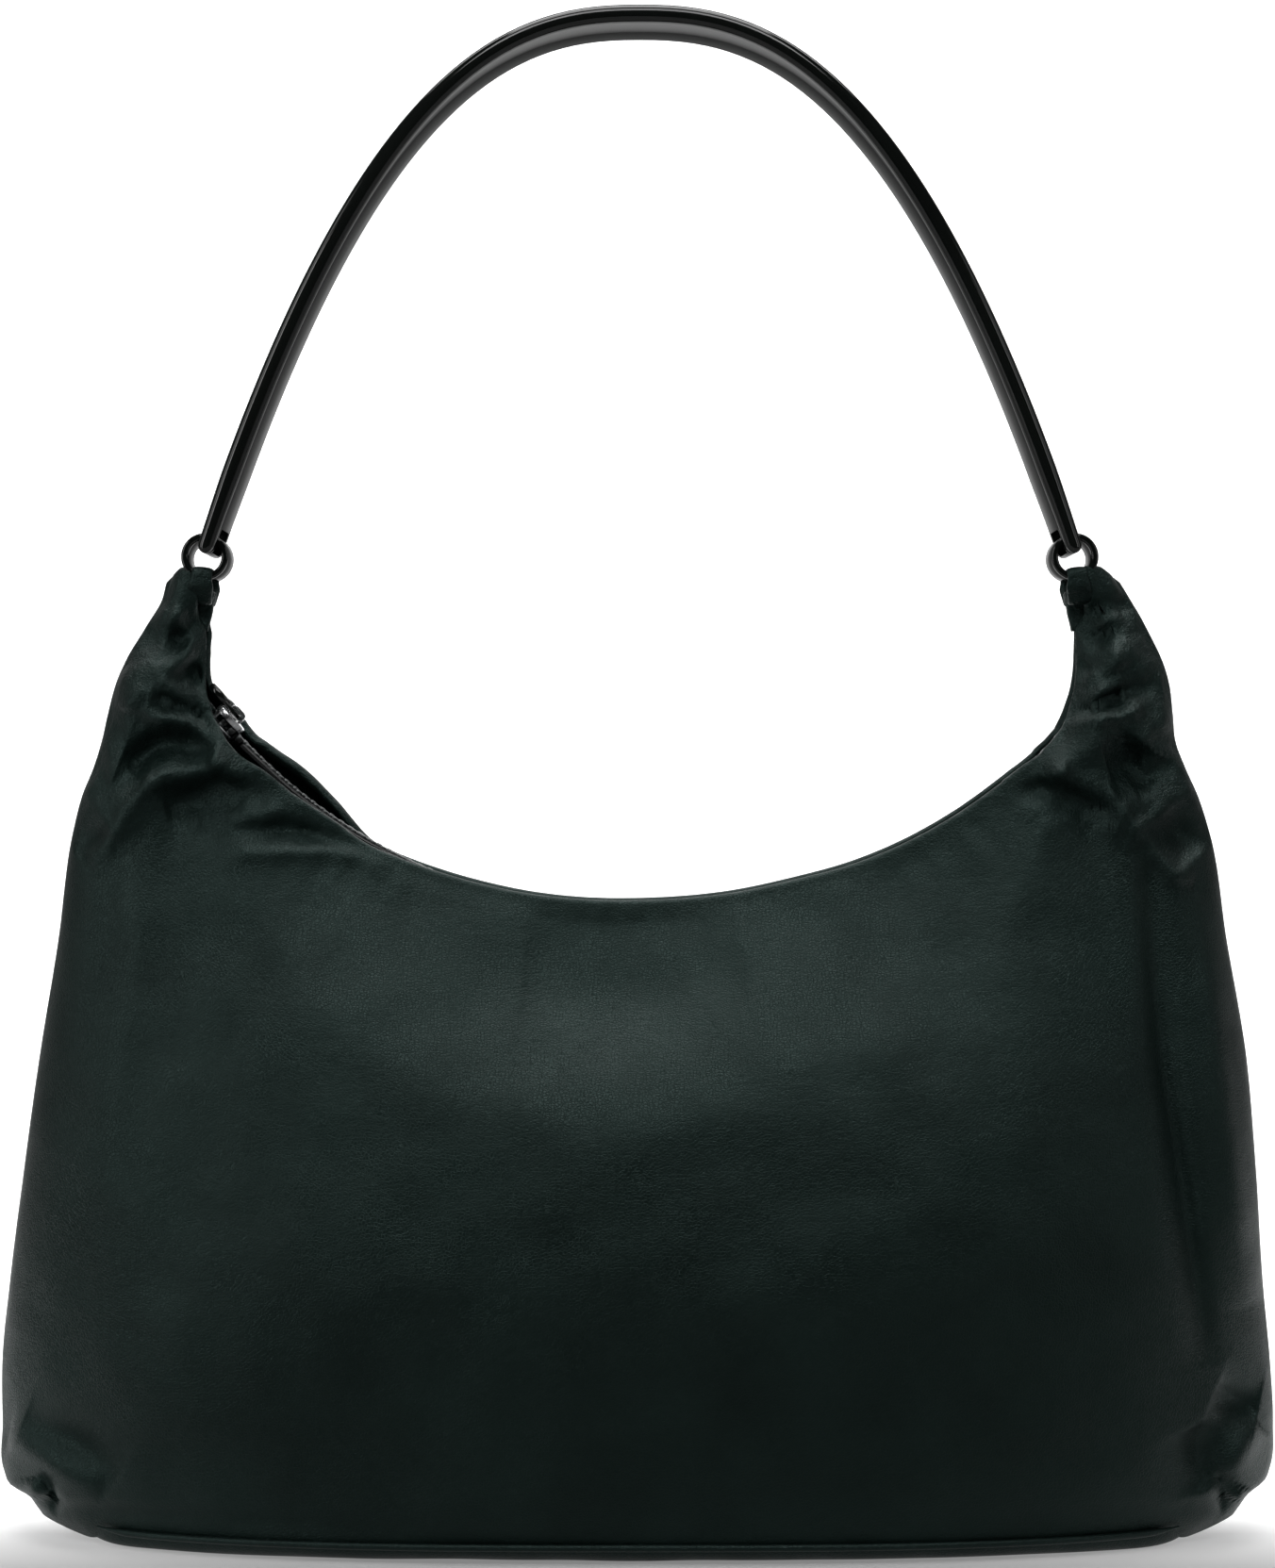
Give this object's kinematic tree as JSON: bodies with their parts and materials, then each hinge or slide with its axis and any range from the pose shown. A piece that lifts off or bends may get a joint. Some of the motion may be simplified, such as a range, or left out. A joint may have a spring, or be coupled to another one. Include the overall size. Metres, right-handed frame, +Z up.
{
  "type": "hobo bag",
  "caption": "Soft hobo shoulder bag with a scooped zipped mouth between two horns and a stiff arched handle hung on rings.",
  "frame": {"origin": "middle of the base where it rests on the table", "axes": "+Z up, +X to the bag's right as seen from its front, front facing -Y"},
  "size_m": [0.2798, 0.0824, 0.336],
  "materials": {
    "leather": "smooth black leather with a faint green tint, soft sheen",
    "leather_trim": "the same leather, folded or rolled",
    "facing": "matt black leather",
    "lacquer": "high-gloss black",
    "zip_metal": "bright polished metal",
    "zip_tape": "black woven tape",
    "lining": "dark woven cotton",
    "board": "plain fibre board"
  },
  "bodies": {
    "bag": {"front_panel": "leather", "back_panel": "leather", "base_panel": "leather", "base_board": "board", "base_welt_front": "leather_trim", "base_welt_back": "leather_trim", "lining_front": "lining", "lining_back": "lining", "lining_base": "lining", "facing_front": "facing", "facing_back": "facing", "zip_tape_front": "zip_tape", "zip_tape_back": "zip_tape", "zip_teeth_front": "zip_metal", "zip_teeth_back": "zip_metal", "zip_stop_right": "zip_metal", "zip_end_tab_left": "leather_trim", "zip_end_tab_right": "leather_trim"},
    "left_link": {"loop_left": "leather_trim"},
    "right_link": {"loop_right": "leather_trim"},
    "left_ring": {"ring_left": "lacquer"},
    "right_ring": {"ring_right": "lacquer"},
    "handle": {"handle": "lacquer"},
    "slider": {"zip_slider": "zip_metal"},
    "pull": {"zip_pull": "lacquer"}
  },
  "joints": [
    {"name": "left_loop_fold", "type": "hinge", "parent": "bag", "child": "left_link", "pos_m": [-0.098, 0, 0.204], "axis": [1, 0, 0], "range_deg": [-70, 70]},
    {"name": "right_loop_fold", "type": "hinge", "parent": "bag", "child": "right_link", "pos_m": [0.098, 0, 0.204], "axis": [1, 0, 0], "range_deg": [-70, 70]},
    {"name": "left_ring_spin", "type": "hinge", "parent": "left_link", "child": "left_ring", "pos_m": [-0.0955, 0, 0.2155], "axis": [0, 1, 0], "continuous": true},
    {"name": "right_ring_spin", "type": "hinge", "parent": "right_link", "child": "right_ring", "pos_m": [0.0955, 0, 0.2155], "axis": [0, 1, 0], "continuous": true},
    {"name": "handle_tilt", "type": "hinge", "parent": "left_link", "child": "handle", "pos_m": [-0.0955, 0, 0.2155], "axis": [1, 0, 0], "range_deg": [-4, 4]},
    {"name": "zip_slide", "type": "hinge", "parent": "bag", "child": "slider", "pos_m": [0.002, 0, 0.2602], "axis": [0, -1, 0], "range_deg": [0, 93], "deforming": ["zip_teeth_front", "zip_teeth_back"]},
    {"name": "pull_lift", "type": "hinge", "parent": "slider", "child": "pull", "pos_m": [-0.08874, 0, 0.18053], "axis": [0, 1, 0], "range_deg": [0, 120]}
  ],
  "couplings": [
    {"joint": "right_loop_fold", "follows": "left_loop_fold", "ratio": 1}
  ]
}
